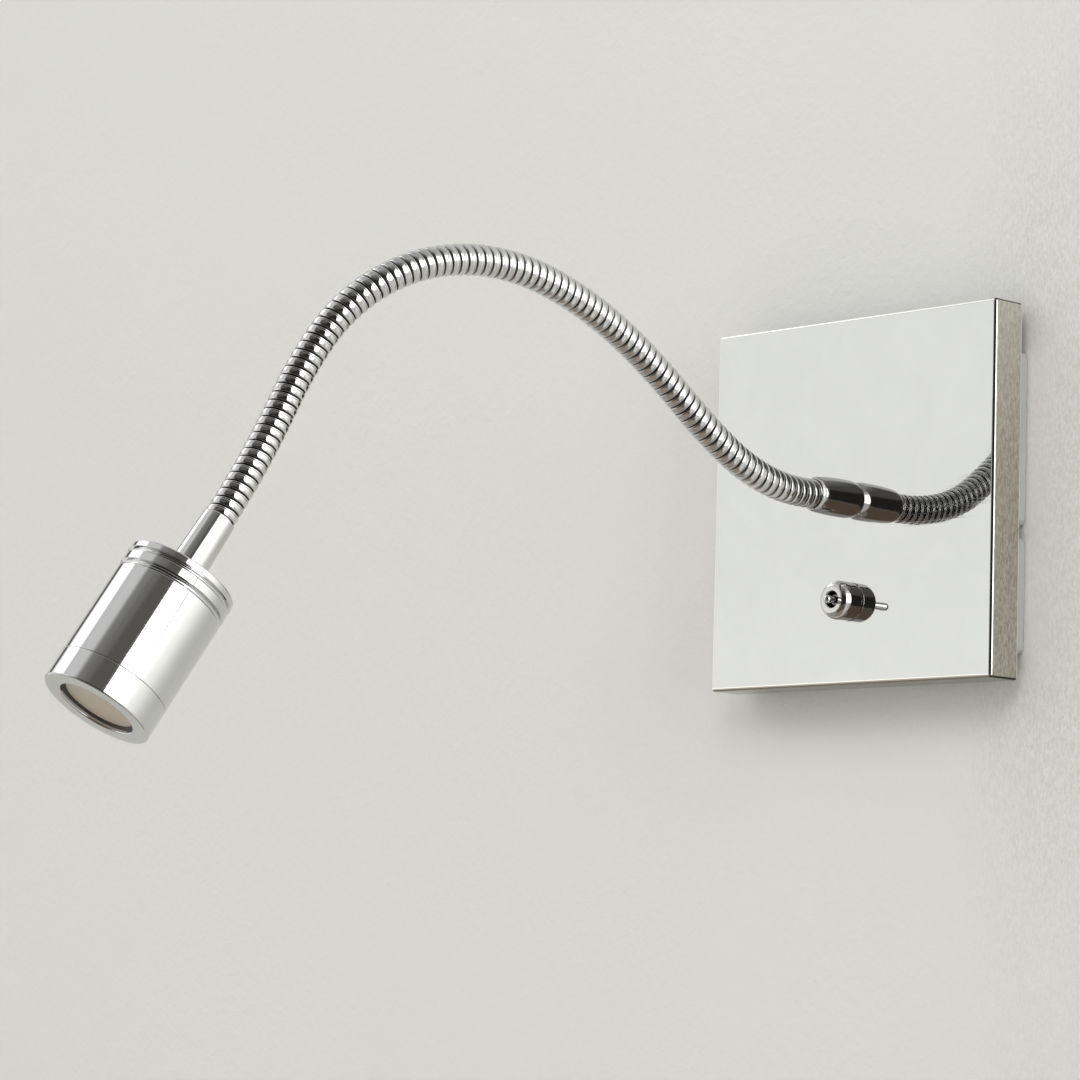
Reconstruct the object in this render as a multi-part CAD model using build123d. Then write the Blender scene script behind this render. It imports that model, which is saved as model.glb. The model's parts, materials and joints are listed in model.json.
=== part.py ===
from build123d import *
import math
import os

# Wall reading lamp: a square mirror-chrome cover over a wall bracket, a gooseneck arm that
# leaves the middle of the cover, a cylindrical head with an LED behind a flat lens, and a
# toggle switch below the arm.
# Frame: origin on the wall plane behind the middle of the cover, +Z up, +X to the right of a
# person who faces the wall, +Y into the wall. Everything stands out towards -Y. Millimetres.

# ------------------------------------------------------------------ driving dimensions
COVER_SIZE = 100.0          # square cover, width and height
COVER_DEPTH = 10.6
COVER_WALL = 1.2
COVER_EDGE = 1.0            # rounding of the outer edges
BRACKET_PROUD = 3.6         # thickness of the bracket that shows behind the cover
BRACKET_INSET = 1.0         # how far its sides stand in from the sides of the cover
BRACKET_TOP = 37.3
BRACKET_BOTTOM = -42.8
BRACKET_NOTCH = (-12.1, -9.0)
BRACKET_NOTCH_DEPTH = 9.0
BRACKET_CORNER = 1.8

SLOT_SPACING = 60.0         # wall screws, hole to hole
SLOT_WIDTH = 4.6
SLOT_LENGTH = 9.0
CABLE_HOLE_D = 17.0
GROMMET_BORE_D = 14.0

ARM_X, ARM_Z = 1.0, -0.2    # where the arm leaves the cover
COLLAR_LENGTH = 16.3
COLLAR_R_BASE = 5.25
COLLAR_R_FRONT = 4.83
COLLAR_CHAMFER = 0.65

HOSE_R = 4.0
HOSE_BORE_R = 2.5
ARM_LENGTH = 233.2
# Rest shape of the arm: thirteen tangent arcs of equal length. Each pair is the turn of one
# arc in degrees, upwards and to the left, in a frame carried along the arm.
ARM_START_TURN = (-3.27, -1.09)
ARM_TURNS = [(16.16, 0.07), (19.27, 4.84), (6.56, 0.31), (-5.91, -1.02), (-9.82, -2.28),
             (-8.51, 2.65), (-13.83, 4.30), (-17.14, 4.76), (-20.22, 9.42), (-20.77, -0.17),
             (-7.98, -5.51), (4.99, -6.06), (2.94, 4.68)]
BALL_R = 3.45               # the spherical end of a link
SOCKET_R = 3.65             # the spherical seat of the next link
LINK_SHOULDER = 1.6         # where a link's full diameter ends, before the joint
LINK_LIP = 0.5              # where the next link's full diameter starts, past the joint
BALL_FRONT = 1.6

NECK_LENGTH = 16.9
NECK_R0, NECK_R1 = 4.17, 4.65
HEAD_R = 14.0
HEAD_LENGTH = 38.9
GROOVES = [(1.8, 3.0), (5.3, 6.8)]
GROOVE_R = 13.0
BEZEL_LENGTH = 7.8
OPENING_R = 9.75
LENS_R = 11.6
LENS_THICK = 1.5
LENS_RECESS = 1.5

SWITCH_X, SWITCH_Z = 0.3, -27.6
SWITCH_NUT_R = 5.3
SWITCH_NUT_LENGTH = 6.8
SWITCH_NOSE = 2.8           # length of its rounded nose
SWITCH_FACE_R = 3.15        # the flat ring round the opening
SWITCH_RECESS_R = 2.2
LEVER_PIVOT_DEPTH = 2.2     # behind the front of the dress nut
LEVER_TILT = 23.1           # from the switch axis, at rest
LEVER_PLANE_TURN = -10.1    # the lever's plane, turned about the switch axis
LEVER_LENGTH = 7.55         # pivot to the middle of the round tip

WIRE_R = 0.8
LEAD_R = 1.2

FRONT_Y = -(BRACKET_PROUD + COVER_DEPTH)
INNER_Y = FRONT_Y + COVER_WALL

parts = {}


# ------------------------------------------------------------------ helpers
def box(x0, x1, y0, y1, z0, z1):
    return Pos((x0 + x1) / 2, (y0 + y1) / 2, (z0 + z1) / 2) * Box(
        abs(x1 - x0), abs(y1 - y0), abs(z1 - z0))


def turned(points):
    """Solid of revolution about Z from (radius, height) points; a triple is an arc's middle
    point followed by its end: ("arc", (r, z), (r, z))."""
    edges = []
    last = None
    first = None
    for p in points:
        if p[0] == "arc":
            edges.append(ThreePointArc((last[0], 0, last[1]), (p[1][0], 0, p[1][1]),
                                       (p[2][0], 0, p[2][1])))
            last = p[2]
        else:
            if last is not None:
                edges.append(Line((last[0], 0, last[1]), (p[0], 0, p[1])))
            else:
                first = p
            last = p
    if abs(last[0] - first[0]) > 1e-9 or abs(last[1] - first[1]) > 1e-9:
        edges.append(Line((last[0], 0, last[1]), (first[0], 0, first[1])))
    return revolve(make_face(edges), Axis.Z, 360)


def out_of_wall(x, y, z):
    """Local frame whose +Z is -Y of the lamp (out of the wall) and whose +X is +X."""
    return Plane(origin=(x, y, z), x_dir=(1, 0, 0), z_dir=(0, -1, 0))


def tube_path(points, radii, r):
    path = FilletPolyline(*points, radius=radii)
    start = Vector(*points[0])
    d = (Vector(*points[1]) - start).normalized()
    return sweep(Plane(origin=start, z_dir=d) * Circle(r), path=path)


def one(shape):
    """A single solid out of a boolean result."""
    s = shape.solids()
    return s[0] if len(s) == 1 else Compound(children=list(s))


# ------------------------------------------------------------------ the arm's centre line
LINKS = len(ARM_TURNS)
LINK_LENGTH = ARM_LENGTH / LINKS


def rotate_about(v, k, deg):
    return v.rotate(Axis((0, 0, 0), (k.X, k.Y, k.Z)), deg)


class Arc:
    pass


def arm_arcs():
    t, u = Vector(0, -1, 0), Vector(0, 0, 1)
    w = t.cross(u)
    p = Vector(ARM_X, FRONT_Y - COLLAR_LENGTH, ARM_Z)

    def turn(t, u, w, up, left):
        rv = u * (-left) + w * up
        k = rv.normalized()
        a = rv.length
        return k, a

    k, a = turn(t, u, w, *ARM_START_TURN)
    t, u, w = (rotate_about(v, k, a) for v in (t, u, w))
    arcs = []
    for up, left in ARM_TURNS:
        k, a = turn(t, u, w, up, left)
        arc = Arc()
        arc.p, arc.t, arc.u, arc.w, arc.k, arc.angle = p, t, u, w, k, a
        arc.radius = LINK_LENGTH / math.radians(a)
        arc.centre = p + k.cross(t) * arc.radius
        arcs.append(arc)
        d = p - arc.centre
        p = arc.centre + rotate_about(d, k, a)
        t, u, w = (rotate_about(v, k, a) for v in (t, u, w))
    end = Arc()
    end.p, end.t, end.u, end.w = p, t, u, w
    return arcs, end


ARCS, ARM_END = arm_arcs()


def at(arc, s):
    """Point and tangent at the length s along one arc."""
    a = arc.angle * s / LINK_LENGTH
    return arc.centre + rotate_about(arc.p - arc.centre, arc.k, a), rotate_about(arc.t, arc.k, a)


def arc_tube(arc, s0, s1, r_out, r_in=0.0):
    p, t = at(arc, s0)
    x = arc.k
    sk = Circle(r_out) - Circle(r_in) if r_in else Circle(r_out)
    sk = Plane(origin=p, x_dir=x, z_dir=t) * sk
    return revolve(sk, Axis(arc.centre, arc.k), arc.angle * (s1 - s0) / LINK_LENGTH)


def joint_plane(p, t, k):
    return Plane(origin=p, x_dir=k, z_dir=t)


def ball_end(p, t, k):
    """Spherical end that reaches past the joint, with a flared bore."""
    z0 = -2.6
    r_at = lambda z: math.sqrt(BALL_R ** 2 - z ** 2)
    prof = [(1.9, z0), (r_at(z0), z0), ("arc", (BALL_R, 0.0), (r_at(BALL_FRONT), BALL_FRONT)),
            (2.3, BALL_FRONT), (1.9, -0.6)]
    return joint_plane(p, t, k) * turned(prof)


def spigot(p, t, k, length):
    """Plain thin end that sits in a ferrule."""
    prof = [(1.9, -1.0), (2.9, -1.0), (2.9, length - 0.3), (2.6, length), (1.9, length)]
    return joint_plane(p, t, k) * turned(prof)


for i, arc in enumerate(ARCS):
    first, last = i == 0, i == LINKS - 1
    s0 = 0.3 if first else LINK_LIP
    s1 = LINK_LENGTH if last else LINK_LENGTH - LINK_SHOULDER
    link = arc_tube(arc, s0, s1, HOSE_R, HOSE_BORE_R)
    if not first:
        link -= Pos(arc.p) * Sphere(SOCKET_R)
    pe, te = at(arc, LINK_LENGTH)
    if last:
        link += spigot(pe, te, arc.k, 4.0)
    else:
        link += ball_end(pe, te, arc.k)
    if first:
        p0, t0 = at(arc, 0.3)
        link += joint_plane(p0, t0 * -1, arc.k) * turned(
            [(1.9, -1.0), (2.9, -1.0), (2.9, 3.2), (2.6, 3.5), (1.9, 3.5)])
    parts["gooseneck_%02d" % (i + 1)] = one(link)

# ------------------------------------------------------------------ cover plate
half = COVER_SIZE / 2
cover = box(-half, half, FRONT_Y, -BRACKET_PROUD, -half, half)
rear = cover.faces().sort_by(Axis.Y)[-1]
cover = fillet([e for e in cover.edges() if e not in rear.edges()], COVER_EDGE)
ih = half - COVER_WALL
cover -= box(-ih, ih, INNER_Y, 1.0, -ih, ih)
cover -= out_of_wall(ARM_X, -5, ARM_Z) * Cylinder(4.1, 30)
cover -= out_of_wall(SWITCH_X, -5, SWITCH_Z) * Cylinder(3.1, 30)
parts["cover_plate"] = one(cover)

# ------------------------------------------------------------------ wall bracket
bx = half - BRACKET_INSET
bracket = box(-bx, bx, -BRACKET_PROUD, 0, BRACKET_BOTTOM, BRACKET_TOP)
for sx in (-1, 1):
    bracket -= box(sx * (bx - BRACKET_NOTCH_DEPTH), sx * (bx + 2), -6, 2, *BRACKET_NOTCH)
bracket = fillet([e for e in bracket.edges().filter_by(Axis.Y)
                  if abs(e.center().X) > bx - 1], BRACKET_CORNER)
# low rims that centre the cover, and the lugs for its spring clips
for sx in (-1, 1):
    for z0, z1 in ((BRACKET_NOTCH[1] + 4, BRACKET_TOP - 4), (BRACKET_BOTTOM + 4, BRACKET_NOTCH[0] - 4)):
        bracket += box(sx * 46.6, sx * 48.2, -BRACKET_PROUD - 1.6, -BRACKET_PROUD + 0.5, z0, z1)
    bracket += box(sx * 44.4, sx * 46.0, -BRACKET_PROUD - 7.0, -BRACKET_PROUD + 0.5, 4, 22)
bracket -= out_of_wall(0, 0, 0) * Cylinder(CABLE_HOLE_D / 2, 20)
for sx in (-1, 1):
    bracket -= out_of_wall(sx * SLOT_SPACING / 2, 0, 0) * extrude(
        SlotOverall(SLOT_LENGTH, SLOT_WIDTH), 10, both=True)
bracket -= box(SWITCH_X - 9.2, SWITCH_X + 9.2, -8, 2, SWITCH_Z - 8, SWITCH_Z + 7.8)
for sx in (-1, 1):
    bracket -= out_of_wall(sx * 33.5, -2.0, 27.0) * Cylinder(1.25, 8)     # driver screws
bracket -= out_of_wall(-12.0, -2.0, -34.0) * Cylinder(1.65, 8)             # earth screw
parts["wall_bracket"] = one(bracket)

ring = turned([(GROMMET_BORE_D / 2, 0.5), (GROMMET_BORE_D / 2 + 0.5, 0), (CABLE_HOLE_D / 2, 0),
               (CABLE_HOLE_D / 2, BRACKET_PROUD), (GROMMET_BORE_D / 2 + 0.5, BRACKET_PROUD),
               (GROMMET_BORE_D / 2, BRACKET_PROUD - 0.5)])
parts["cable_grommet"] = out_of_wall(0, 0, 0) * ring

# spring clips: a bent leaf on each lug presses outwards on the inner face of the cover
clips = []
for sx in (-1, 1):
    leaf = [(46.05, -BRACKET_PROUD - 6.8), (46.45, -BRACKET_PROUD - 6.8), (46.45, -9.0),
            (48.35, -7.2), (48.35, -6.4), (47.2, -5.6), (47.2, -5.4), (46.9, -5.4), (46.9, -5.7),
            (47.95, -6.5), (47.95, -7.0), (46.05, -8.8)]
    f = make_face(Polyline(*[(sx * x, y, 7) for x, y in leaf], close=True))
    clips.append(extrude(f, amount=12, dir=(0, 0, 1)))
parts["cover_clips"] = Compound(children=[one(c) for c in clips])

# ------------------------------------------------------------------ driver
dy0, dy1 = -BRACKET_PROUD, -BRACKET_PROUD - 7.0
dcase = fillet(box(-31, 31, dy1, dy0, 17.5, 36.5).edges().filter_by(Axis.Y), 1.5)
dcase -= box(-29.8, 29.8, dy1 - 1, dy0 - 1.2, 18.7, 35.3)
for sx in (-1, 1):
    ear = box(sx * 30.5, sx * 36.5, dy0 - 2.0, dy0, 23.5, 30.5)
    ear = fillet([e for e in ear.edges().filter_by(Axis.Y) if abs(e.center().X) > 36], 2.0)
    dcase += ear
    dcase -= out_of_wall(sx * 33.5, -5, 27) * Cylinder(1.45, 10)
for z in (22.0, 32.0):
    dcase -= Plane(origin=(-31, -8, z), z_dir=(1, 0, 0)) * Cylinder(0.95, 6)
dcase -= Plane(origin=(31, -8, 32.0), z_dir=(1, 0, 0)) * Cylinder(1.35, 6)
parts["driver_case"] = one(dcase)
dlid = fillet(box(-31, 31, dy1 - 1.2, dy1, 17.5, 36.5).edges().filter_by(Axis.Y), 1.5)
dlid += box(-29.6, 29.6, dy1, dy1 + 0.8, 18.9, 35.1) - box(-28.6, 28.6, dy1 - 0.1, dy1 + 1, 19.9, 34.1)
parts["driver_lid"] = one(dlid)
pcb = box(-27, 27, dy0 - 2.6, dy0 - 1.4, 19.6, 34.4)
for x0, x1, h, z0, z1 in ((-24, -17, 3.6, 21, 29), (-14, -6, 4.0, 24, 33), (-3, 9, 4.2, 21, 32),
                          (12, 16, 2.4, 22, 26), (19, 25, 3.8, 24, 32)):
    pcb += box(x0, x1, dy0 - 2.6 - h + 0.4, dy0 - 2.5, z0, z1)
parts["driver_board"] = one(pcb)


def pan_screw(d, length, head_d, head_h, slot=True):
    s = turned([(0, -length), (d / 2 - 0.25, -length), (d / 2, -length + 0.3), (d / 2, 0),
                (head_d / 2, 0), (head_d / 2, head_h * 0.45),
                ("arc", (head_d * 0.42, head_h * 0.84), (head_d * 0.25, head_h)), (0, head_h)])
    if slot:
        s -= Pos(0, 0, head_h) * Box(head_d * 0.72, head_d * 0.14, head_h)
        s -= Pos(0, 0, head_h) * Box(head_d * 0.14, head_d * 0.72, head_h)
    return one(s)


parts["driver_screws"] = Compound(children=[
    out_of_wall(sx * 33.5, dy0 - 2.0, 27) * pan_screw(2.5, 5.2, 4.6, 1.6) for sx in (-1, 1)])

# ------------------------------------------------------------------ terminal block
POLES = (-23.0, -31.0, -39.0)          # earth, live, neutral
tb = box(-43.3, -18.7, -BRACKET_PROUD - 8.4, -BRACKET_PROUD, -37, -23)
for x in POLES:
    tb -= Plane(origin=(x, -8, -30), z_dir=(0, 0, 1)) * Cylinder(2.05, 20)
    for z in (-33.6, -26.4):
        tb -= out_of_wall(x, -10.6, z) * Cylinder(1.75, 5.2)
for x in (-27.0, -35.0):
    tb -= box(x - 0.5, x + 0.5, -13, -9.6, -38, -22)
parts["terminal_block"] = one(tb)
inserts, screws = [], []
for x in POLES:
    t = Plane(origin=(x, -8, -30), z_dir=(0, 0, 1)) * (Cylinder(2.0, 13.0) - Cylinder(1.3, 14.0))
    for z in (-33.6, -26.4):
        t -= out_of_wall(x, -10.0, z) * Cylinder(1.25, 4.0)
        sc = turned([(0, 0), (1.2, 0), (1.2, 2.1), (1.65, 2.1), (1.65, 3.4), (0, 3.4)])
        sc -= Pos(0, 0, 3.4) * Box(4.0, 0.5, 1.0)
        screws.append(out_of_wall(x, -8.55, z) * one(sc))
    inserts.append(one(t))
parts["terminal_inserts"] = Compound(children=inserts)
parts["terminal_screws"] = Compound(children=screws)

tag = Cylinder(3.6, 0.7) - Cylinder(2.1, 2)
tag += Pos(0, -4.0, 0) * Box(2.6, 2.6, 0.7)
tag += Plane(origin=(0, -4.9, 0.95), z_dir=(0, -1, 0)) * Cylinder(1.3, 3.0)
tag -= Plane(origin=(0, -4.9, 0.95), z_dir=(0, -1, 0)) * Cylinder(0.85, 4.6)
parts["earth_tag"] = out_of_wall(-12, -BRACKET_PROUD - 0.35, -34) * one(tag)
parts["earth_screw"] = out_of_wall(-12, -BRACKET_PROUD - 0.7, -34) * pan_screw(3.3, 3.6, 6.0, 2.0)

# ------------------------------------------------------------------ internal wires
live = [
    tube_path([(-31, -8, -24.6), (-31, -8, -17.0), (-3.4, -8, -17.0), (-3.4, -8, -21.0),
               (-3.4, -2.2, -21.0), (-3.4, -2.2, -25.2)], [3, 1.9, 1.9, 1.6], WIRE_R),
    tube_path([(5.0, -2.2, -27.1), (5.0, -2.2, -21.0), (5.0, -8, -21.0), (5.0, -8, -13.4),
               (-17, -8, -13.4), (-17, -8, 11.5), (-35.5, -8, 11.5), (-35.5, -8, 22),
               (-29.5, -8, 22)], [1.6, 1.9, 3, 4, 4, 4, 3], WIRE_R)]
parts["live_wires"] = Compound(children=[one(w) for w in live])
parts["neutral_wire"] = one(tube_path([(-39, -8, -24.6), (-39, -8, 32.0), (-29.5, -8, 32.0)],
                                      [3.0], WIRE_R))
parts["earth_wire"] = one(tube_path([(-23, -8, -35.4), (-23, -8, -41.9), (-12, -4.9, -41.9),
                                     (-12, -4.9, -38.0)], [2.4, 1.4], WIRE_R))
parts["driver_lead"] = one(tube_path([(28.6, -8, 32), (40, -8, 32), (40, -6.2, 10), (15, -5.6, 10),
                                      (ARM_X, -5.6, ARM_Z), (ARM_X, FRONT_Y - 10.5, ARM_Z)],
                                     [4, 5, 6, 2.6], LEAD_R))

# ------------------------------------------------------------------ arm collar
L = COLLAR_LENGTH
c = COLLAR_CHAMFER
collar = turned([(2.1, -5.4), (3.6, -5.4), (4.0, -5.0), (4.0, 0), (COLLAR_R_BASE - c, 0),
                 (COLLAR_R_BASE, c), ("arc", (5.22, L * 0.45), (COLLAR_R_FRONT, L - c)),
                 (COLLAR_R_FRONT - c, L), (3.3, L), (3.3, L - 5.0), (2.1, L - 5.0)])
parts["arm_collar"] = out_of_wall(ARM_X, FRONT_Y, ARM_Z) * collar
parts["arm_washer"] = out_of_wall(ARM_X, INNER_Y, ARM_Z) * turned(
    [(4.1, -0.8), (7.2, -0.8), (7.2, 0), (4.1, 0)])
nut = extrude(RegularPolygon(6.0, 6, major_radius=False), 2.8) - Cylinder(4.03, 20)
parts["arm_nut"] = out_of_wall(ARM_X, INNER_Y + 0.8 + 2.8, ARM_Z) * one(nut)

# ------------------------------------------------------------------ toggle switch
turn_deg = LEVER_PLANE_TURN
sx_dir = Vector(math.cos(math.radians(turn_deg)), 0, math.sin(math.radians(turn_deg)))


def switch_frame(y):
    """+Z out of the wall, +X along the lever's swing."""
    return Plane(origin=(SWITCH_X, y, SWITCH_Z), x_dir=sx_dir, z_dir=(0, -1, 0))


N = SWITCH_NUT_LENGTH
R = SWITCH_NUT_R


def nose(deg):
    """A point on the oval quarter from the nut's side (0) to its flat face (90)."""
    t = math.radians(deg)
    return (SWITCH_FACE_R + (R - SWITCH_FACE_R) * math.cos(t), N - SWITCH_NOSE + SWITCH_NOSE * math.sin(t))


dress = turned([(3.05, 0), (R - 0.45, 0), (R, 0.45), (R, N - SWITCH_NOSE),
                ("arc", nose(16), nose(33)), ("arc", nose(47), nose(62)), ("arc", nose(76), nose(90)),
                (SWITCH_RECESS_R + 0.3, N), (SWITCH_RECESS_R, N - 0.3),
                (SWITCH_RECESS_R, N - 1.3), (3.05, N - 1.3)])
parts["switch_dress_nut"] = switch_frame(FRONT_Y) * dress
PIVOT_Z = N - LEVER_PIVOT_DEPTH
bush = turned([(2.25, -1.8), (4.4, -1.8), (4.4, -1.7), (3.0, -1.7), (3.0, N - 1.35), (2.25, N - 1.35)])
bush -= Pos(0, 0, PIVOT_Z) * Rot(90, 0, 0) * Cylinder(0.45, 12)
bush = switch_frame(FRONT_Y) * one(bush)
parts["switch_bush"] = one(bush)
parts["switch_washer"] = switch_frame(FRONT_Y) * turned(
    [(3.05, -1.7), (4.9, -1.7), (4.9, -1.2), (3.05, -1.2)])
pin = Cylinder(0.45, 5.7)
parts["lever_pin"] = switch_frame(FRONT_Y) * (Pos(0, 0, PIVOT_Z) * Rot(90, 0, 0) * pin)
body = Pos(0, 0, -6.0) * Box(13, 8, 8.4)
body = fillet(body.edges().filter_by(Axis.Z), 0.6)
body -= Pos(0, 0, -3.3) * Cylinder(2.25, 3.2)
parts["switch_body"] = switch_frame(FRONT_Y) * one(body)
parts["switch_terminals"] = Compound(children=[
    switch_frame(FRONT_Y) * (Pos(x, 0, -11.45) * (Box(0.6, 2.4, 2.5) - Pos(0, 0, -0.3) * Rot(0, 90, 0) * Cylinder(0.5, 2)))
    for x in (-4.3, 4.3)])
BALL = 1.75
TIP_R = 1.08
lev = turned([(0, -2.4), (0.75, -2.4), (0.75, -math.sqrt(BALL ** 2 - 0.75 ** 2)),
              ("arc", (BALL, 0), (0.95, math.sqrt(BALL ** 2 - 0.95 ** 2))), (0.95, 2.6),
              (TIP_R, LEVER_LENGTH), ("arc", (TIP_R * 0.8, LEVER_LENGTH + TIP_R * 0.6), (0.35, LEVER_LENGTH + TIP_R * 0.94)),
              (0, LEVER_LENGTH + TIP_R * 0.94)])
lev -= Rot(90, 0, 0) * Cylinder(0.5, 6)
lev = Rot(0, LEVER_TILT, 0) * one(lev)
parts["toggle_lever"] = switch_frame(FRONT_Y - PIVOT_Z) * lev

# ------------------------------------------------------------------ head
# Local +Z runs from the end of the arm towards the light; 0 is the end of the hose.
HEAD = Plane(origin=ARM_END.p, x_dir=ARM_END.w * -1, z_dir=ARM_END.t)
Z0 = NECK_LENGTH
neck = turned([(2.95, 0), (NECK_R0 - 0.35, 0), (NECK_R0, 0.35), (NECK_R1, Z0), (3.0, Z0),
               (3.0, Z0 + 6.3), (1.9, Z0 + 6.3), (1.9, 5.0), (2.95, 5.0)])
parts["neck_ferrule"] = HEAD * neck
g0, g1 = GROOVES
CAP_END = g1[1]
cap = turned([(3.1, Z0), (HEAD_R - 0.35, Z0), (HEAD_R, Z0 + 0.35), (HEAD_R, Z0 + g0[0]),
              (GROOVE_R, Z0 + g0[0]), (GROOVE_R, Z0 + g0[1]), (HEAD_R, Z0 + g0[1]),
              (HEAD_R, Z0 + g1[0]), (GROOVE_R, Z0 + g1[0]), (GROOVE_R, Z0 + CAP_END),
              (12.3, Z0 + CAP_END), (12.3, Z0 + 11.0), (11.0, Z0 + 11.0), (11.0, Z0 + 3.2),
              (3.1, Z0 + 3.2)])
parts["rear_cap"] = HEAD * cap
nn = extrude(RegularPolygon(4.5, 6, major_radius=False), 2.4) - Cylinder(3.03, 20)
parts["neck_nut"] = HEAD * (Pos(0, 0, Z0 + 3.2 + 0.5) * one(nn))
parts["neck_washer"] = HEAD * turned([(3.1, Z0 + 3.2), (5.2, Z0 + 3.2), (5.2, Z0 + 3.7), (3.1, Z0 + 3.7)])
BEZ = HEAD_LENGTH - BEZEL_LENGTH
barrel = turned([(12.35, Z0 + CAP_END), (HEAD_R - 0.2, Z0 + CAP_END), (HEAD_R, Z0 + CAP_END + 0.2),
                 (HEAD_R, Z0 + BEZ - 0.12), (HEAD_R - 0.12, Z0 + BEZ), (12.6, Z0 + BEZ),
                 (12.6, Z0 + 26.0), (12.1, Z0 + 26.0), (12.1, Z0 + 24.0), (12.35, Z0 + 24.0)])
parts["head_barrel"] = HEAD * barrel
FR = Z0 + HEAD_LENGTH
bezel = turned([(12.5, Z0 + BEZ - 4.5), (12.5, Z0 + BEZ), (HEAD_R - 0.12, Z0 + BEZ),
                (HEAD_R, Z0 + BEZ + 0.12), (HEAD_R, FR - 0.35), (HEAD_R - 0.35, FR),
                (OPENING_R + 0.4, FR), ("arc", (OPENING_R + 0.1, FR - 0.1), (OPENING_R, FR - 0.4)),
                (OPENING_R, FR - 0.95), (LENS_R + 0.15, FR - 0.95), (LENS_R + 0.15, Z0 + BEZ - 4.5)])
parts["bezel"] = HEAD * bezel
parts["lens_seal"] = HEAD * turned([(OPENING_R - 0.75, FR - LENS_RECESS), (LENS_R + 0.1, FR - LENS_RECESS),
                                    (LENS_R + 0.1, FR - 0.95), (OPENING_R - 0.35, FR - 0.95)])
parts["lens"] = HEAD * turned([(0, FR - LENS_RECESS - LENS_THICK), (LENS_R, FR - LENS_RECESS - LENS_THICK),
                               (LENS_R, FR - LENS_RECESS), (0, FR - LENS_RECESS)])
BOARD = Z0 + 24.0
RIM = FR - LENS_RECESS - LENS_THICK
parts["reflector_cup"] = HEAD * turned([(4.0, BOARD + 1.6), (5.0, BOARD + 1.6),
                                        ("arc", (8.9, BOARD + 5.0), (11.2, RIM - 0.6)),
                                        (LENS_R, RIM - 0.6), (LENS_R, RIM), (10.6, RIM),
                                        ("arc", (7.9, BOARD + 5.4), (4.0, BOARD + 2.4))])
board = Pos(0, 0, BOARD + 0.8) * Cylinder(11.0, 1.6)
for s in (-1, 1):
    board -= Pos(s * 8.6, 0, BOARD) * Cylinder(1.15, 6)
    board -= Pos(0, s * 8.0, BOARD) * Cylinder(0.8, 6)
parts["led_board"] = HEAD * one(board)
parts["led_chip"] = HEAD * turned([(0, BOARD + 1.6), (3.4, BOARD + 1.6), (3.4, BOARD + 2.3), (0, BOARD + 2.3)])
sink = turned([(2.2, Z0 + 13.0), (7.5, Z0 + 13.0), (7.5, Z0 + 19.5), (12.0, Z0 + 19.5), (12.0, BOARD),
               (2.2, BOARD)])
for i in range(10):
    sink += Rot(0, 0, i * 36) * (Pos(9.7, 0, Z0 + 16.5) * Box(4.6, 1.1, 7.0))
for s in (-1, 1):
    sink -= Pos(s * 8.6, 0, BOARD) * Cylinder(0.95, 6)
    sink -= Pos(0, s * 8.0, BOARD) * Cylinder(0.9, 30)
parts["heat_sink"] = HEAD * one(sink)
parts["board_screws"] = Compound(children=[
    HEAD * (Pos(s * 8.6, 0, BOARD + 1.6) * pan_screw(1.9, 4.2, 3.4, 1.0)) for s in (-1, 1)])
lead = Pos(0, 0, (0.5 + Z0 + 7.6) / 2) * Cylinder(LEAD_R, Z0 + 7.6 - 0.5)
parts["head_lead"] = HEAD * lead
cores = []
for s in (-1, 1):
    y1 = s * 8.0
    path = [(0, s * 0.62, Z0 + 7.65), (0, s * 0.62, Z0 + 9.5), (0, y1, Z0 + 11.6), (0, y1, BOARD + 1.9)]
    cores.append(one(tube_path(path, [1.0, 1.6], 0.55)))
parts["head_cores"] = Compound(children=[HEAD * w for w in cores])

# ------------------------------------------------------------------ write
os.makedirs("parts", exist_ok=True)
for f in os.listdir("parts"):
    if f.endswith(".step"):
        os.remove(os.path.join("parts", f))
for name, shape in parts.items():
    export_step(shape, os.path.join("parts", name + ".step"))

for arc in ARCS + [ARM_END]:
    print("arm", [round(v, 3) for v in (arc.p.X, arc.p.Y, arc.p.Z)],
          "t", [round(v, 4) for v in (arc.t.X, arc.t.Y, arc.t.Z)],
          "u", [round(v, 4) for v in (arc.u.X, arc.u.Y, arc.u.Z)],
          "w", [round(v, 4) for v in (arc.w.X, arc.w.Y, arc.w.Z)])
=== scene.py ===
import json
import math

import bmesh
import bpy
import numpy as np
from mathutils import Matrix, Vector
from mathutils.geometry import tessellate_polygon


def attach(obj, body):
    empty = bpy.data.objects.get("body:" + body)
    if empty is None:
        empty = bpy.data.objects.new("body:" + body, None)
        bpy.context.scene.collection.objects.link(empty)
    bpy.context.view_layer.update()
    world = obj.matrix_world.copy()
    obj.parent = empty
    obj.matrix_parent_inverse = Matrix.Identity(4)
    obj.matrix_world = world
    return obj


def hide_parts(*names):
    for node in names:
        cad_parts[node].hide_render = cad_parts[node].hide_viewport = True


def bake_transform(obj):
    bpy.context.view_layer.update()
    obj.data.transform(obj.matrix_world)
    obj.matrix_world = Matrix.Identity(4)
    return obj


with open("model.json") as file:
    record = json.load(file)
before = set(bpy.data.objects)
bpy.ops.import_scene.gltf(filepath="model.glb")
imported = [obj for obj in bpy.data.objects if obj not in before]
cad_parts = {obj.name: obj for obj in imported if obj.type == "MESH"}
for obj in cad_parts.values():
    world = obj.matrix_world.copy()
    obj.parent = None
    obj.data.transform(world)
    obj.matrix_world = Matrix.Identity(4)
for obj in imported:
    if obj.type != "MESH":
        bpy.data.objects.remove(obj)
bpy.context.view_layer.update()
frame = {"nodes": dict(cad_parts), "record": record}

# The looks of a wall reading lamp: mirror cover, strip-wound gooseneck, turned chrome head.
# Everything is in metres in the lamp's own frame: origin on the wall plane, +Z up, -Y out of the wall.
MM = 0.001
nodes = frame["nodes"]
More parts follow.
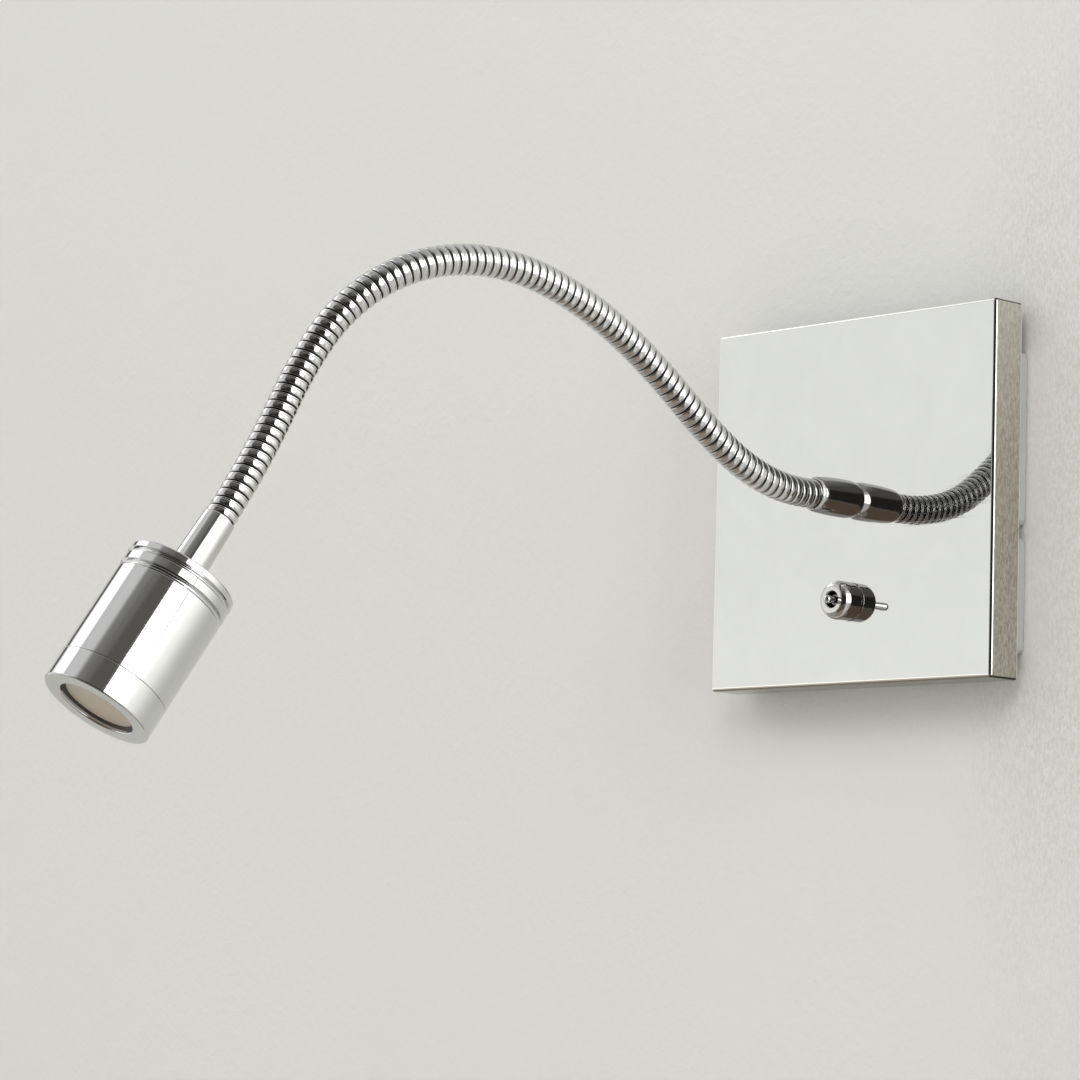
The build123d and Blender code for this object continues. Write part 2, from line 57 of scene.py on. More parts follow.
scene = bpy.context.scene


# ---------------------------------------------------------------- node helpers
class Tree:
    """Short calls for making a material's node tree."""

    def __init__(self, name, coord="Object"):
        self.mat = bpy.data.materials.new(name)
        self.mat.use_nodes = True
        self.nt = self.mat.node_tree
        self.nt.nodes.clear()
        self.out = self.nt.nodes.new("ShaderNodeOutputMaterial")
        self.co = self.nt.nodes.new("ShaderNodeTexCoord").outputs[coord]

    def node(self, kind, ins=(), **props):
        n = self.nt.nodes.new(kind)
        for k, v in props.items():
            setattr(n, k, v)
        for k, v in dict(ins).items():
            if isinstance(v, bpy.types.NodeSocket):
                self.nt.links.new(v, n.inputs[k])
            else:
                n.inputs[k].default_value = v
        return n

    def link(self, a, b):
        self.nt.links.new(a, b)

    def scaled(self, sx, sy, sz, rot=(0, 0, 0)):
        return self.node("ShaderNodeMapping", {"Vector": self.co, "Scale": (sx, sy, sz), "Rotation": rot}).outputs[0]

    def noise(self, scale, detail=3.0, rough=0.55, vec=None, distort=0.0):
        n = self.node("ShaderNodeTexNoise", {"Vector": vec or self.co, "Scale": scale, "Detail": detail,
                                             "Roughness": rough, "Distortion": distort})
        return n.outputs["Fac"]

    def ramp(self, fac, a, b, lo, hi, smooth=False):
        n = self.node("ShaderNodeMapRange", {"Value": fac, "From Min": a, "From Max": b, "To Min": lo, "To Max": hi})
        n.clamp = True
        if smooth:
            n.interpolation_type = "SMOOTHSTEP"
        return n.outputs[0]

    def math(self, op, a, b=None, c=None):
        ins = {0: a}
        if b is not None:
            ins[1] = b
        if c is not None:
            ins[2] = c
        return self.node("ShaderNodeMath", ins, operation=op).outputs[0]

    def mix(self, fac, a, b):
        n = self.node("ShaderNodeMix", data_type="RGBA")
        for i, v in ((0, fac), (6, a), (7, b)):
            if isinstance(v, bpy.types.NodeSocket):
                self.nt.links.new(v, n.inputs[i])
            else:
                n.inputs[i].default_value = v if i == 0 else tuple(v) + (1.0,) * (4 - len(v))
        return n.outputs[2]

    def bump(self, height, distance, strength=1.0, normal=None):
        ins = {"Height": height, "Distance": distance, "Strength": strength}
        if normal is not None:
            ins["Normal"] = normal
        return self.node("ShaderNodeBump", ins).outputs[0]

    def principled(self, **ins):
        b = self.nt.nodes.new("ShaderNodeBsdfPrincipled")
        for k, v in ins.items():
            k = k.replace("_", " ")
            if isinstance(v, bpy.types.NodeSocket):
                self.nt.links.new(v, b.inputs[k])
            elif isinstance(v, tuple) and len(v) == 3 and b.inputs[k].type == "RGBA":
                b.inputs[k].default_value = v + (1.0,)
            else:
                b.inputs[k].default_value = v
        self.nt.links.new(b.outputs[0], self.out.inputs[0])
        return b


def cover_painted_reflections(t, colour, r):
    """Painted reflections on the cover's edges: painted pale highlight lines and painted dark lines along the fillets,
    and a painted warm reflection of the wall on the right side, mottled and darker towards the bottom. Tones depend on
    the place on the 100 mm square."""
    at = t.node("ShaderNodeSeparateXYZ", {0: t.co})
    x, y, z = at.outputs[0], at.outputs[1], at.outputs[2]

    def line(v, a, b, soft=0.00012):
        return t.math("MULTIPLY", t.ramp(v, a - soft, a + soft, 0.0, 1.0), t.ramp(v, b - soft, b + soft, 1.0, 0.0))

    # Painted reflection and painted shade: the right side gets a warm mottled wall tone in place of the chrome, darker
    # towards the bottom.
    side = t.ramp(x, 0.04975, 0.04992, 0.0, 1.0)
    front = t.ramp(y, -0.01330, -0.01300, 1.0, 0.0)
    painted_wall_mottle = t.ramp(t.noise(1.0, 4.0, 0.62, vec=t.scaled(1500.0, 1500.0, 520.0), distort=0.8), 0.38, 0.62, 0.0, 1.0)
    low = t.mix(painted_wall_mottle, (0.385, 0.358, 0.303), (0.605, 0.582, 0.528))
    high = t.mix(painted_wall_mottle, (0.575, 0.547, 0.485), (0.765, 0.742, 0.685))
    colour = t.mix(side, colour, t.mix(t.ramp(z, 0.005, 0.050, 0.0, 1.0), low, high))
    not_side = t.math("SUBTRACT", 1.0, side)
    # Painted highlight: pale lines along the left, top and bottom front fillets.
    painted_highlight_lines = t.math("MAXIMUM", line(x, -0.0502, -0.04925), line(z, 0.04945, 0.04990))
    painted_highlight_lines = t.math("MAXIMUM", painted_highlight_lines, line(z, -0.04962, -0.04905))
    painted_highlight_lines = t.math("MULTIPLY", painted_highlight_lines, t.math("MULTIPLY", not_side, front))
    colour = t.mix(painted_highlight_lines, colour, (0.95, 0.925, 0.86))
    # Painted reflection: a dark brown line under the bottom front fillet.
    painted_dark_underside = t.math("MULTIPLY", t.ramp(z, -0.04968, -0.04960, 1.0, 0.0), not_side)
    colour = t.mix(painted_dark_underside, colour, (0.235, 0.205, 0.160))
    # Painted dark reflection: black lines along the top and bottom edges of the right side.
    painted_dark_rim = t.math("MULTIPLY", t.ramp(x, 0.04905, 0.04915, 0.0, 1.0),
                 t.math("MAXIMUM", t.ramp(z, -0.04952, -0.04942, 1.0, 0.0), t.ramp(z, 0.04935, 0.04945, 0.0, 1.0)))
    colour = t.mix(painted_dark_rim, colour, (0.035, 0.033, 0.030))
    # Painted highlight: a cream line along the back edge of the right side.
    back = t.math("MULTIPLY", side, t.ramp(y, -0.00395, -0.00375, 0.0, 1.0))
    colour = t.mix(back, colour, (0.93, 0.89, 0.79))
    return colour, t.math("MULTIPLY_ADD", side, 0.10, r)


def plated(name, tint, rough, smear, wave, wave_size, scratch, scratch_dir, groove_shade=None, painted_edge_reflections=False):
    """Polished plating: tint, base roughness, patches of fingerprint smear, long waves in the
    ground surface, and hair scratches along one direction."""
    t = Tree(name)
    patches = t.noise(70.0, 4.0, 0.6, distort=0.6)
    fine = t.noise(900.0, 2.0, 0.5)
    r = t.ramp(patches, 0.42, 0.72, rough, rough + smear, True)
    r = t.math("MULTIPLY_ADD", t.ramp(fine, 0.5, 0.8, 0.0, 1.0), smear * 0.25, r)
    colour = t.mix(t.ramp(patches, 0.35, 0.75, 0.0, 1.0), tint, tuple(c * 0.965 for c in tint))
    waves = t.noise(wave_size, 2.0, 0.5)
    hair = t.noise(1.0, 2.0, 0.6, vec=t.scaled(*scratch_dir))
    hair = t.ramp(hair, 0.60, 0.66, 0.0, 1.0)
    n = t.bump(waves, wave, 1.0)
    n = t.bump(hair, scratch, 0.5, n)
    # Painted shade in the strip's grooves: near black where the groove is deep, a little varied by noise, with duller
    # gloss.
    if groove_shade is not None:
        groove_depth = t.node("ShaderNodeAttribute", attribute_name="groove").outputs["Fac"]
        painted_shade_amount = t.math("MULTIPLY", groove_depth, t.ramp(t.noise(420.0, 4.0, 0.6), 0.3, 0.7, 0.75, 1.0))
        colour = t.mix(painted_shade_amount, colour, groove_shade)
        r = t.math("MULTIPLY_ADD", painted_shade_amount, 0.32, r)
    # the cover's painted reflections: painted highlight lines, painted dark lines and a painted wall tone on its right
    # side
    if painted_edge_reflections:
        colour, r = cover_painted_reflections(t, colour, r)
    t.principled(Base_Color=colour, Metallic=1.0, Roughness=r, Normal=n)
    return t.mat


def plastic(name, colour, other, rough, grain=1500.0, depth=0.00002, coat=0.0, sss=0.0):
    """Moulded plastic: a little colour drift, spark-eroded grain, soft gloss."""
    t = Tree(name)
    drift = t.noise(55.0, 3.0, 0.6)
    grains = t.noise(grain, 3.0, 0.6)
    t.principled(Base_Color=t.mix(t.ramp(drift, 0.3, 0.7, 0.0, 1.0), colour, other),
                 Roughness=t.ramp(grains, 0.3, 0.7, rough - 0.06, rough + 0.08),
                 Coat_Weight=coat, Subsurface_Weight=sss, Subsurface_Radius=(0.002, 0.0015, 0.001),
                 Normal=t.bump(grains, depth, 0.6))
    return t.mat


def brushed(name, colour, other, rough, lines=(60.0, 60.0, 4000.0)):
    """Machined or plated working metal: fine tool lines and dull patches."""
    t = Tree(name)
    hair = t.noise(1.0, 3.0, 0.6, vec=t.scaled(*lines))
    patch = t.noise(140.0, 4.0, 0.65)
    t.principled(Base_Color=t.mix(t.ramp(patch, 0.35, 0.7, 0.0, 1.0), colour, other), Metallic=1.0,
                 Roughness=t.ramp(hair, 0.3, 0.7, rough - 0.06, rough + 0.12),
                 Normal=t.bump(hair, 0.00001, 0.5))
    return t.mat


M = {
    "cover": plated("mirror_chrome_cover", (0.66, 0.665, 0.668), 0.012, 0.03, 0.000012, 30.0, 0.0000012,
                    (30.0, 30.0, 5200.0), painted_edge_reflections=True),
    "head": plated("mirror_chrome_head", (0.655, 0.66, 0.662), 0.03, 0.05, 0.000004, 90.0, 0.0000015,
                   (300.0, 300.0, 6000.0)),
    "collar": plated("polished_plate_collar", (0.60, 0.597, 0.59), 0.035, 0.05, 0.000004, 160.0, 0.0000015,
                     (300.0, 6000.0, 300.0)),
    "hose": plated("chromed_strip", (0.67, 0.672, 0.672), 0.055, 0.06, 0.000003, 300.0, 0.0000015,
                   (900.0, 900.0, 900.0), groove_shade=(0.035, 0.034, 0.032)),
    "lever": plated("polished_lever", (0.655, 0.658, 0.66), 0.03, 0.04, 0.000003, 250.0, 0.000001,
                    (500.0, 500.0, 5000.0)),
    # The bracket's pale plastic is given a darker grey: painted shade, as it sits in the gap between the cover and the
    # wall.
    "bracket": plastic("moulding_in_painted_shade", (0.40, 0.415, 0.41), (0.44, 0.45, 0.445), 0.5, 1800.0, 0.00002),
    "rubber_black": plastic("black_rubber", (0.018, 0.018, 0.018), (0.03, 0.03, 0.029), 0.62, 900.0, 0.00003),
    "spring_steel": brushed("blued_spring_steel", (0.20, 0.22, 0.28), (0.30, 0.30, 0.33), 0.30),
    "driver_white": plastic("white_case", (0.80, 0.80, 0.78), (0.74, 0.74, 0.71), 0.5, 1200.0, 0.00003),
    "board_green": plastic("solder_mask_green", (0.015, 0.11, 0.045), (0.02, 0.15, 0.06), 0.32, 600.0, 0.00001, 0.3),
    "zinc": brushed("zinc_plate", (0.62, 0.64, 0.66), (0.50, 0.52, 0.53), 0.32),
    "terminal_body": plastic("nylon_block", (0.74, 0.73, 0.66), (0.68, 0.67, 0.60), 0.38, 800.0, 0.00002, 0.0, 0.15),
    "brass": brushed("turned_brass", (0.72, 0.50, 0.20), (0.55, 0.36, 0.13), 0.28),
    "wire_brown": plastic("wire_brown", (0.13, 0.05, 0.02), (0.17, 0.07, 0.03), 0.42, 500.0, 0.00001),
    "wire_blue": plastic("wire_blue", (0.02, 0.08, 0.36), (0.03, 0.11, 0.42), 0.42, 500.0, 0.00001),
    "wire_green": plastic("wire_earth", (0.06, 0.30, 0.05), (0.62, 0.52, 0.03), 0.42, 500.0, 0.00001),
    "lead_white": plastic("lead_white", (0.76, 0.76, 0.73), (0.70, 0.70, 0.67), 0.45, 500.0, 0.00001),
    "switch_black": plastic("phenolic_black", (0.015, 0.014, 0.013), (0.028, 0.026, 0.024), 0.35, 700.0, 0.00002),
    "aluminium": brushed("turned_aluminium", (0.68, 0.69, 0.70), (0.58, 0.59, 0.60), 0.30),
    "board_white": plastic("solder_mask_white", (0.82, 0.82, 0.79), (0.77, 0.77, 0.74), 0.3, 600.0, 0.00001, 0.3),
    "phosphor": plastic("phosphor", (0.80, 0.58, 0.08), (0.84, 0.66, 0.16), 0.5, 2500.0, 0.00002, 0.0, 0.2),
    "reflector": brushed("bright_anodised", (0.82, 0.83, 0.84), (0.76, 0.77, 0.78), 0.16),
    "seal": plastic("silicone_seal", (0.030, 0.027, 0.024), (0.045, 0.040, 0.036), 0.5, 900.0, 0.00002),
}


def frosted():
    """Frosted acrylic diffuser, switched off: milky, faintly mottled, with a soft sheen."""
    t = Tree("frosted_diffuser")
    cloud = t.noise(120.0, 4.0, 0.6)
    frost = t.noise(3200.0, 2.0, 0.6)
    t.principled(Base_Color=t.mix(t.ramp(cloud, 0.35, 0.7, 0.0, 1.0), (0.54, 0.485, 0.415), (0.505, 0.45, 0.38)),
                 Roughness=t.ramp(frost, 0.3, 0.7, 0.34, 0.46), Subsurface_Weight=0.35,
                 Subsurface_Radius=(0.003, 0.002, 0.0015), Normal=t.bump(frost, 0.00001, 0.5))
    return t.mat


M["lens"] = frosted()


# ---------------------------------------------------------------- mesh helpers
def make(name, verts, faces, mat, normals=None, scale=MM):
    """A mesh object from millimetre points. normals holds one direction for each face corner."""
    me = bpy.data.meshes.new(name)
    me.from_pydata([tuple(float(c) * scale for c in v) for v in verts], [], faces)
    me.update()
    for p in me.polygons:
        p.use_smooth = True
    if normals is not None:
        me.normals_split_custom_set([tuple(map(float, n)) for n in normals])
    me.materials.append(mat)
    ob = bpy.data.objects.new(name, me)
    scene.collection.objects.link(ob)
    return ob


def profile(points, arc_step=9.0):
    """A closed outline from (r, z, rule): rule 0 is a sharp corner, a number is a fillet radius and
    "s" a point on a smooth curve. Gives the points, each with the outline's normal before and after it."""
    n = len(points)
    p = [np.array(q[:2], float) for q in points]
    area = sum(p[i][0] * p[(i + 1) % n][1] - p[(i + 1) % n][0] * p[i][1] for i in range(n))
    if area < 0:
        points = points[::-1]
        p = p[::-1]

    def out(a, b):
        d = b - a
        d = d / np.linalg.norm(d)
        return np.array([d[1], -d[0]])

    made = []
    for i in range(n):
        a, b, c = p[i - 1], p[i], p[(i + 1) % n]
        n0, n1 = out(a, b), out(b, c)
        rule = points[i][2] if len(points[i]) > 2 else 0
        if rule == "s":
            m = n0 + n1
            m /= np.linalg.norm(m)
            made.append((b, m, m))
            continue
        turn = math.atan2(n0[0] * n1[1] - n0[1] * n1[0], float(n0 @ n1))
        if not rule or abs(turn) < 1e-3:
            made.append((b, n0, n1))
            continue
        f = float(rule)
        cut = f * math.tan(abs(turn) / 2)
        room = 0.49 * min(np.linalg.norm(b - a), np.linalg.norm(c - b))
        if cut > room:
            f *= room / cut
            cut = room
        sgn = 1 if turn > 0 else -1
        start = b + (a - b) / np.linalg.norm(a - b) * cut
        centre = start - sgn * f * n0
        steps = max(2, int(math.ceil(math.degrees(abs(turn)) / arc_step)))
        for k in range(steps + 1):
            t = turn * k / steps
            m = np.array([n0[0] * math.cos(t) - n0[1] * math.sin(t), n0[0] * math.sin(t) + n0[1] * math.cos(t)])
            made.append((centre + sgn * f * m, m, m))
    return made


def lathe(name, points, place, mat, seg=128, arc_step=9.0):
    """Turns a closed outline round the local Z of place (a 4x4 matrix in millimetres)."""
    made = profile(points, arc_step)
    ring, verts = [], []
    cs = [(math.cos(2 * math.pi * j / seg), math.sin(2 * math.pi * j / seg)) for j in range(seg)]
    for q, _, _ in made:
        if q[0] < 1e-6:
            ring.append([len(verts)])
            verts.append((0.0, 0.0, q[1]))
        else:
            ring.append(list(range(len(verts), len(verts) + seg)))
            verts += [(q[0] * c, q[0] * s, q[1]) for c, s in cs]
    faces, normals = [], []
    rot = place.to_3x3()
    for i in range(len(made)):
        k = (i + 1) % len(made)
        a, b = ring[i], ring[k]
        if len(a) == 1 and len(b) == 1:
            continue
        na, nb = made[i][2], made[k][1]
        for j in range(seg):
            j1 = (j + 1) % seg
            c0, c1 = cs[j], cs[j1]
            va = [(na[0] * c[0], na[0] * c[1], na[1]) for c in (c0, c1)]
            vb = [(nb[0] * c[0], nb[0] * c[1], nb[1]) for c in (c0, c1)]
            if len(a) == 1:
                faces.append((a[0], b[j1], b[j]))
                normals += [va[0], vb[1], vb[0]]
            elif len(b) == 1:
                faces.append((a[j], a[j1], b[0]))
                normals += [va[0], va[1], vb[0]]
            else:
                faces.append((a[j], a[j1], b[j1], b[j]))
                normals += [va[0], va[1], vb[1], vb[0]]
    verts = [place @ Vector(v) for v in verts]
    normals = [rot @ Vector(v) for v in normals]
    return make(name, verts, faces, mat, normals)


def frame_at(origin, z_dir, x_dir):
    z = Vector(z_dir).normalized()
    x = Vector(x_dir)
    x = (x - z * x.dot(z)).normalized()
    y = z.cross(x)
    m = Matrix((x, y, z)).transposed().to_4x4()
    m.translation = Vector(origin)
    return m


def curve3(a, b, c, n):
    """Points on the circle arc from a through b to c, both ends included."""
    a, b, c = (np.array(v, float) for v in (a, b, c))
    d = 2 * (a[0] * (b[1] - c[1]) + b[0] * (c[1] - a[1]) + c[0] * (a[1] - b[1]))
    ux = ((a @ a) * (b[1] - c[1]) + (b @ b) * (c[1] - a[1]) + (c @ c) * (a[1] - b[1])) / d
    uy = ((a @ a) * (c[0] - b[0]) + (b @ b) * (a[0] - c[0]) + (c @ c) * (b[0] - a[0])) / d
    o = np.array([ux, uy])
    t0, t1, t2 = (math.atan2(*(v - o)[::-1]) for v in (a, b, c))
    full = (t2 - t0 + math.pi) % (2 * math.pi) - math.pi
    mid = (t1 - t0 + math.pi) % (2 * math.pi) - math.pi
    if full * mid < 0:
        full += 2 * math.pi * (1 if mid > 0 else -1)
    r = np.linalg.norm(a - o)
    return [tuple(o + r * np.array([math.cos(t0 + full * k / n), math.sin(t0 + full * k / n)])) for k in range(n + 1)]


# ---------------------------------------------------------------- dimensions shared with the solid model, mm
FRONT_Y = -14.2
INNER_Y = -13.0
REAR_Y = -3.6
ARM_X, ARM_Z = 1.0, -0.2
COLLAR_L = 16.3
LINKS = 13
ARM_LENGTH = 233.2
LINK = ARM_LENGTH / LINKS
ARM_START_TURN = (-3.27, -1.09)
ARM_TURNS = [(16.16, 0.07), (19.27, 4.84), (6.56, 0.31), (-5.91, -1.02), (-9.82, -2.28),
             (-8.51, 2.65), (-13.83, 4.30), (-17.14, 4.76), (-20.22, 9.42), (-20.77, -0.17),
             (-7.98, -5.51), (4.99, -6.06), (2.94, 4.68)]
SWITCH_X, SWITCH_Z = 0.3, -27.6
NUT_L, NUT_R, RECESS_R = 6.8, 5.3, 2.2
Z0 = 16.9
HEAD_R, HEAD_L, GROOVE_R = 14.0, 38.9, 13.0
BEZ = HEAD_L - 7.8
OPEN_R, LENS_R = 9.75, 11.6


# ---------------------------------------------------------------- the arm's centre line
def arm_arcs():
    t, u = Vector((0, -1, 0)), Vector((0, 0, 1))
    w = t.cross(u)
    p = Vector((ARM_X, FRONT_Y - COLLAR_L, ARM_Z))

    def turned(up, left):
        rv = u * (-left) + w * up
        return rv.normalized(), math.radians(rv.length)

    k, a = turned(*ARM_START_TURN)
    m = Matrix.Rotation(a, 3, k)
    t, u, w = m @ t, m @ u, m @ w
    arcs = []
    for up, left in ARM_TURNS:
        k, a = turned(up, left)
        radius = LINK / a
        centre = p + k.cross(t) * radius
        arcs.append((p.copy(), t.copy(), u.copy(), w.copy(), k, a, centre))
        m = Matrix.Rotation(a, 3, k)
        p = centre + m @ (p - centre)
        t, u, w = m @ t, m @ u, m @ w
    return arcs, (p, t, u, w)


ARCS, END = arm_arcs()


def along(s):
    """Point, tangent and two normals of the arm at the length s from the collar."""
    if s <= 0:
        p, t, u, w = ARCS[0][:4]
        return p + t * s, t, u, w
    if s >= ARM_LENGTH:
        p, t, u, w = END
        return p + t * (s - ARM_LENGTH), t, u, w
    i = min(LINKS - 1, int(s / LINK))
    p, t, u, w, k, a, centre = ARCS[i]
    m = Matrix.Rotation(a * (s - i * LINK) / LINK, 3, k)
    return centre + m @ (p - centre), m @ t, m @ u, m @ w


# ---------------------------------------------------------------- gooseneck: one interlocked strip, wound tight
PITCH = 2.40
STEPS = 48                       # sections in one turn
HAND = 1                         # winding direction
# Section of the strip over one pitch: (share of the pitch from the wall side, radius, how deep in a groove)
STRIP = [
    (0.022, 3.300, 1.0), (0.024, 3.640, 1.0), (0.028, 3.790, 0.8), (0.036, 3.842, 0.4), (0.050, 3.866, 0.05),
    (0.068, 3.874, 0.0), (0.095, 3.876, 0.0), (0.130, 3.872, 0.0), (0.158, 3.862, 0.0), (0.178, 3.842, 0.2),
    (0.193, 3.806, 0.7), (0.203, 3.802, 0.8), (0.214, 3.880, 0.5), (0.226, 3.950, 0.15), (0.241, 3.984, 0.0),
    (0.261, 3.998, 0.0), (0.300, 3.994, 0.0), (0.380, 3.972, 0.0), (0.480, 3.941, 0.0), (0.570, 3.909, 0.0),
    (0.635, 3.882, 0.0), (0.690, 3.851, 0.0), (0.732, 3.818, 0.0), (0.765, 3.781, 0.0), (0.792, 3.739, 0.1),
    (0.813, 3.692, 0.3), (0.829, 3.640, 0.6), (0.840, 3.584, 0.9), (0.847, 3.520, 1.0), (0.850, 3.320, 1.0),
    (0.890, 3.220, 1.0), (1.110, 3.220, 1.0), (1.128, 3.200, 1.0), (1.118, 3.140, 1.0), (1.020, 3.095, 1.0),
    (0.900, 3.050, 0.6), (0.550, 3.030, 0.3), (0.200, 3.050, 0.6), (0.165, 3.120, 1.0), (0.155, 3.240, 1.0),
    (0.120, 3.290, 1.0), (0.050, 3.290, 1.0)]


def strip_normals():
    """For each point of the section the outline's direction outwards, as (along the arm, radial)."""
    n = len(STRIP)
    out = []
    for j in range(n):
        d = []
        for a, b in ((STRIP[j - 1], STRIP[j]), (STRIP[j], STRIP[(j + 1) % n])):
            v = np.array([-(b[1] - a[1]), (b[0] - a[0]) * PITCH])
            length = np.linalg.norm(v)
            d.append((v / length, length))
        # the shorter side bends faster, so it counts for more
        m = d[0][0] * d[1][1] + d[1][0] * d[0][1]
        out.append(m / np.linalg.norm(m))
    return out


STRIP_N = strip_normals()
# tiny scatter from turn to turn keeps the reflections from repeating exactly
rng = np.random.default_rng(41)
TURN_JITTER = rng.normal(0.0, 1.0, (140, 3))


def strip_piece(name, s_from, s_to, mat):
    """One closed length of the strip between two lengths along the arm."""
    k0 = int(round(s_from / PITCH * STEPS))
    k1 = int(round(s_to / PITCH * STEPS))
    verts, dirs, depth, faces, normals = [], [], [], [], []
    n = len(STRIP)
    for k in range(k0, k1 + 1):
        turn = k / STEPS
        phi = HAND * 2 * math.pi * turn
        s0 = turn * PITCH
        c, sn = math.cos(phi), math.sin(phi)
        i = int(math.floor(turn)) + 10
        f = turn - math.floor(turn)
        f = f * f * (3 - 2 * f)
        j0, j1 = TURN_JITTER[i % 140], TURN_JITTER[(i + 1) % 140]
        jr, js, jt = (j0 * (1 - f) + j1 * f)
        for (x, r, d), (ns, nr) in zip(STRIP, STRIP_N):
            p, t, u, w = along(s0 + (x - 0.5) * PITCH + 0.012 * js)
            out = u * c + w * sn
            rr = r + (0.004 * jr + 0.010 * jt * (x - 0.5)) * (1 - d)
            verts.append(p + out * rr)
            dirs.append((t * (ns - 0.010 * jt / PITCH * (1 - d)) + out * nr).normalized())
            depth.append(d)
    rings = k1 - k0 + 1
    for k in range(rings - 1):
        for j in range(n):
            a, b = k * n + j, k * n + (j + 1) % n
            f = (a, b, b + n, a + n) if HAND > 0 else (a, a + n, b + n, b)
            faces.append(f)
    last = (rings - 1) * n
    caps = [tuple(range(n - 1, -1, -1)), tuple(range(last, last + n))]
    if HAND < 0:
        caps = [c[::-1] for c in caps]
    # faces must look outwards; the winding is settled on one face of the outer band
    q = [verts[v] for v in faces[18]]
    if (q[1] - q[0]).cross(q[2] - q[0]).dot(dirs[faces[18][0]]) < 0:
        faces = [f[::-1] for f in faces]
        caps = [c[::-1] for c in caps]
    for f in faces:
        normals += [dirs[v] for v in f]
    for c, k in zip(caps, (0, last)):
        a, b, d = verts[c[0]], verts[c[n // 3]], verts[c[2 * n // 3]]
        nn = (verts[k + n] - verts[k]) * -1 if k == 0 else verts[k] - verts[k - n]
        nn = nn.normalized()
        faces.append(c)
        normals += [nn] * n
    ob = make(name, verts, faces, mat, normals)
    ob.data.attributes.new("groove", "FLOAT", "POINT").data.foreach_set("value", depth)
    return ob


for i in range(1, 13):
    a = -1.2 if i == 1 else (i - 0.5) * LINK
    b = ARM_LENGTH + 1.2 if i == 12 else (i + 0.5) * LINK
    piece = strip_piece("hose_%02d" % i, a, b, M["hose"])
    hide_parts(*(["gooseneck_01", "gooseneck_02"] if i == 1 else ["gooseneck_%02d" % (i + 1)]))
    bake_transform(piece)


